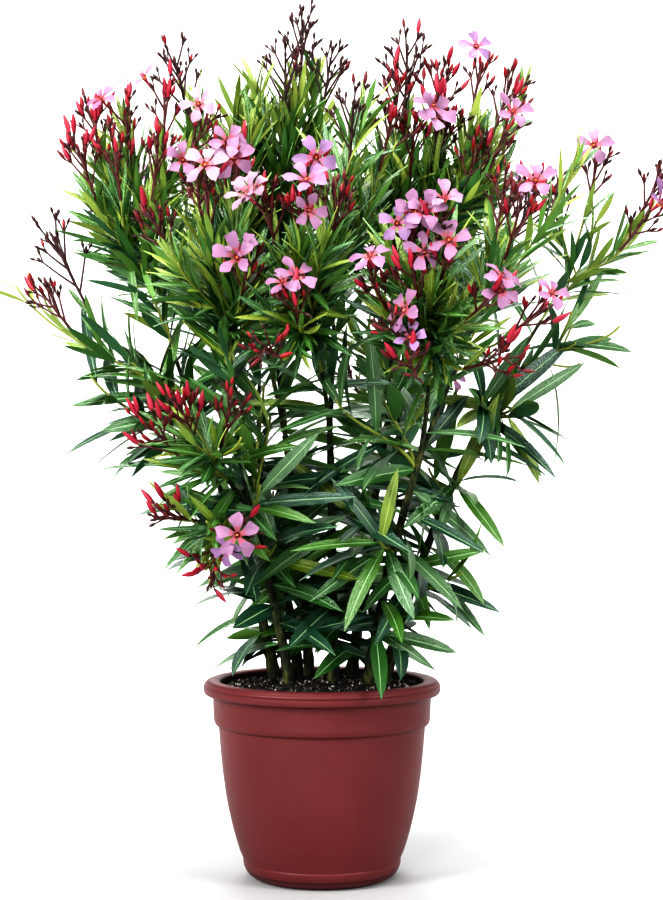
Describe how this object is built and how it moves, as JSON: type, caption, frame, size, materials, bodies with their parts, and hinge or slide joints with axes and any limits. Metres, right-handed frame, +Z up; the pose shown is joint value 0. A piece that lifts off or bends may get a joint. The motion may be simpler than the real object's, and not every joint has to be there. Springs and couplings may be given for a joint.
{
  "type": "potted oleander",
  "caption": "Bushy flowering shrub of slender canes, long narrow leaves and pink blossom sprays in a round rimmed plastic pot.",
  "frame": {"origin": "centre of the pot's flat underside", "axes": "+Z up along the pot's axis, -Y towards the show side, +X to the right of the show side"},
  "size_m": [0.6735, 0.5321, 0.878],
  "materials": {
    "pot_plastic": "satin",
    "soil": "rough",
    "bark": "matte",
    "foliage": "satin",
    "twigs": "matte",
    "blossom": "matte",
    "buds": "satin"
  },
  "bodies": {
    "root": {"pot": "pot_plastic", "soil": "soil", "bough_back_crest": "bark", "bough_back_left": "bark", "bough_back_low": "bark", "bough_back_right": "bark", "bough_crest_centre": "bark", "bough_crest_left": "bark", "bough_crest_right": "bark", "bough_droop_left": "bark", "bough_front_centre": "bark", "bough_front_left": "bark", "bough_front_right": "bark", "bough_high_left": "bark", "bough_high_right": "bark", "bough_low_left": "bark", "bough_reach_left": "bark", "bough_reach_right": "bark", "bough_shoulder_right": "bark", "bough_side_right": "bark", "bough_summit": "bark", "bough_tuft_left": "bark", "cane_back_left": "bark", "cane_back_right": "bark", "cane_centre": "bark", "cane_centre_left": "bark", "cane_centre_right": "bark", "cane_left": "bark", "cane_left_front": "bark", "cane_right": "bark", "cane_right_front": "bark", "mass_back_crest": "foliage", "mass_back_left": "foliage", "mass_back_low": "foliage", "mass_back_right": "foliage", "mass_crest_centre": "foliage", "mass_crest_left": "foliage", "mass_crest_right": "foliage", "mass_droop_left": "foliage", "mass_front_centre": "foliage", "mass_front_left": "foliage", "mass_front_right": "foliage", "mass_high_left": "foliage", "mass_high_right": "foliage", "mass_low_left": "foliage", "mass_reach_left": "foliage", "mass_reach_right": "foliage", "mass_shoulder_right": "foliage", "mass_side_left": "foliage", "mass_side_right": "foliage", "mass_side_right_low": "foliage", "mass_skirt_back_left": "foliage", "mass_skirt_back_right": "foliage", "mass_skirt_front": "foliage", "mass_skirt_front_left": "foliage", "mass_skirt_left": "foliage", "mass_skirt_right": "foliage", "mass_summit": "foliage", "mass_tuft_left": "foliage"}
  },
  "joints": []
}
